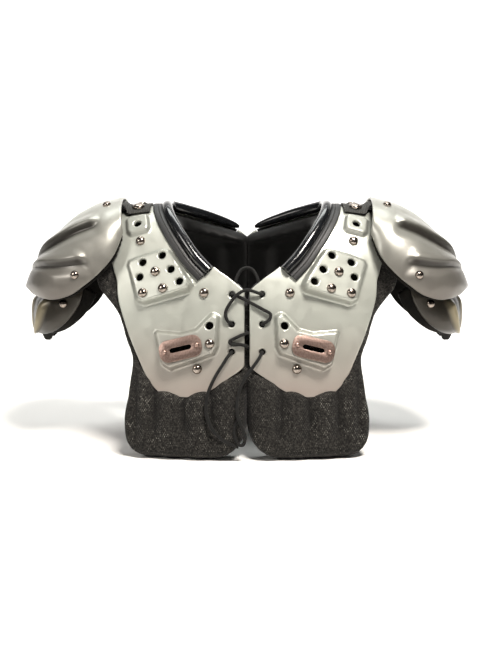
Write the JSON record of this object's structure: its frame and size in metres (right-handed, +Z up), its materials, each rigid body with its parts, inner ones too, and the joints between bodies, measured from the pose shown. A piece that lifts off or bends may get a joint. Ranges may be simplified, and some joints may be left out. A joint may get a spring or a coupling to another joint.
{
  "type": "football shoulder pad",
  "caption": "Youth football shoulder pad: laced plastic arches over mesh padding, with beaded neck rolls, ribbed shoulder caps, arm caps and belt plates, standing on its hems.",
  "frame": {"origin": "centre of the box of everything but the lace, on the floor plane that the hems stand on", "axes": "+X towards the wearer's left, across the shoulders; +Y towards the wearer's back; +Z up"},
  "size_m": [0.417, 0.2029, 0.2321],
  "materials": {
    "plate": "satin silver paint on moulded plastic",
    "cap": "satin grey metallic paint on moulded plastic",
    "arm_cap": "satin warm grey paint on moulded plastic",
    "mesh_cloth": "black open mesh over foam",
    "foam": "black closed-cell foam",
    "vinyl": "glossy black vinyl over a cord",
    "webbing": "dark grey woven webbing",
    "rivet": "polished nickel",
    "belt_plate": "brushed aluminium",
    "lace": "black braided polyester"
  },
  "bodies": {
    "root": {"arm_cap_left": "arm_cap", "arm_cap_pad_left": "foam", "arm_cap_pad_right": "foam", "arm_cap_right": "arm_cap", "belt_plate_back_left": "belt_plate", "belt_plate_back_right": "belt_plate", "belt_plate_front_left": "belt_plate", "belt_plate_front_right": "belt_plate", "body_pad_left": "mesh_cloth", "body_pad_right": "mesh_cloth", "lace_back": "lace", "lace_front": "lace", "lace_tail_left": "lace", "lace_tail_right": "lace", "neck_roll_left": "vinyl", "neck_roll_right": "vinyl", "plate_left": "plate", "plate_right": "plate", "rivet_arm_cap_back_left": "rivet", "rivet_arm_cap_back_right": "rivet", "rivet_arm_cap_front_left": "rivet", "rivet_arm_cap_front_right": "rivet", "rivet_back_neck_left": "rivet", "rivet_back_neck_right": "rivet", "rivet_back_waist_left": "rivet", "rivet_back_waist_right": "rivet", "rivet_belt_1_left": "rivet", "rivet_belt_1_right": "rivet", "rivet_boss_1_left": "rivet", "rivet_boss_1_right": "rivet", "rivet_boss_2_left": "rivet", "rivet_boss_2_right": "rivet", "rivet_boss_3_left": "rivet", "rivet_boss_3_right": "rivet", "rivet_cap_back_left": "rivet", "rivet_cap_back_right": "rivet", "rivet_cap_front_left": "rivet", "rivet_cap_front_right": "rivet", "rivet_cap_top_left": "rivet", "rivet_cap_top_right": "rivet", "rivet_front_chest_left": "rivet", "rivet_front_chest_right": "rivet", "rivet_front_neck_left": "rivet", "rivet_front_neck_right": "rivet", "rivet_front_shoulder_left": "rivet", "rivet_front_shoulder_right": "rivet", "rivet_strap_back_left": "rivet", "rivet_strap_back_right": "rivet", "rivet_strap_front_left": "rivet", "rivet_strap_front_right": "rivet", "shoulder_cap_left": "cap", "shoulder_cap_pad_left": "foam", "shoulder_cap_pad_right": "foam", "shoulder_cap_right": "cap", "shoulder_strap_left": "webbing", "shoulder_strap_right": "webbing"}
  },
  "joints": []
}
